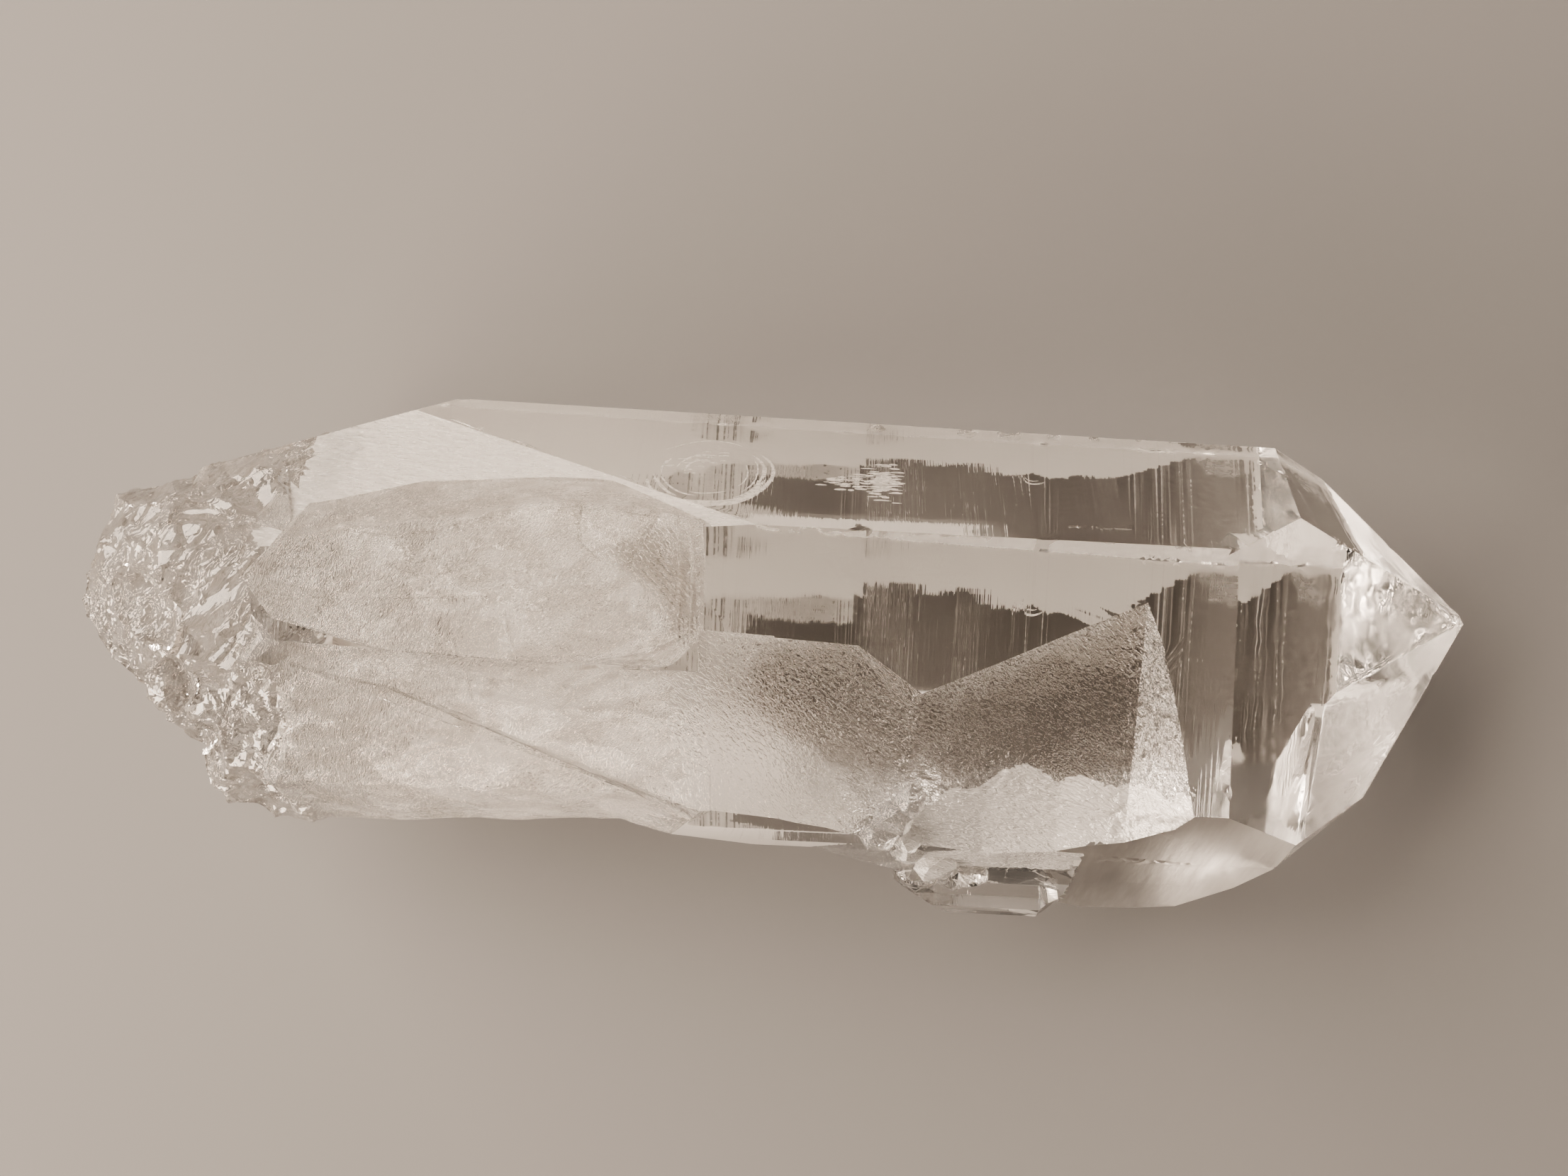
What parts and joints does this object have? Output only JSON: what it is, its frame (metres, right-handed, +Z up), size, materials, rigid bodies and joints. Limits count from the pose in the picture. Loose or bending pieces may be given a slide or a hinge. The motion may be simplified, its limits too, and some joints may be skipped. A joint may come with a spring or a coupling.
{
  "type": "quartz crystal point",
  "caption": "Clear quartz crystal point lying on a prism face, with a parallel overgrowth, etched contact faces and a broken root.",
  "frame": {"origin": "centre of the piece's footprint box, on the surface that the crystal rests on", "axes": "+X along the crystal's long axis towards its point, +Z up from the face that it rests on"},
  "size_m": [0.1586, 0.0578, 0.045],
  "materials": {
    "clear_quartz": "natural crystal faces, glassy, etched and striated in places"
  },
  "bodies": {
    "root": {"quartz_crystal": "clear_quartz"}
  },
  "joints": []
}
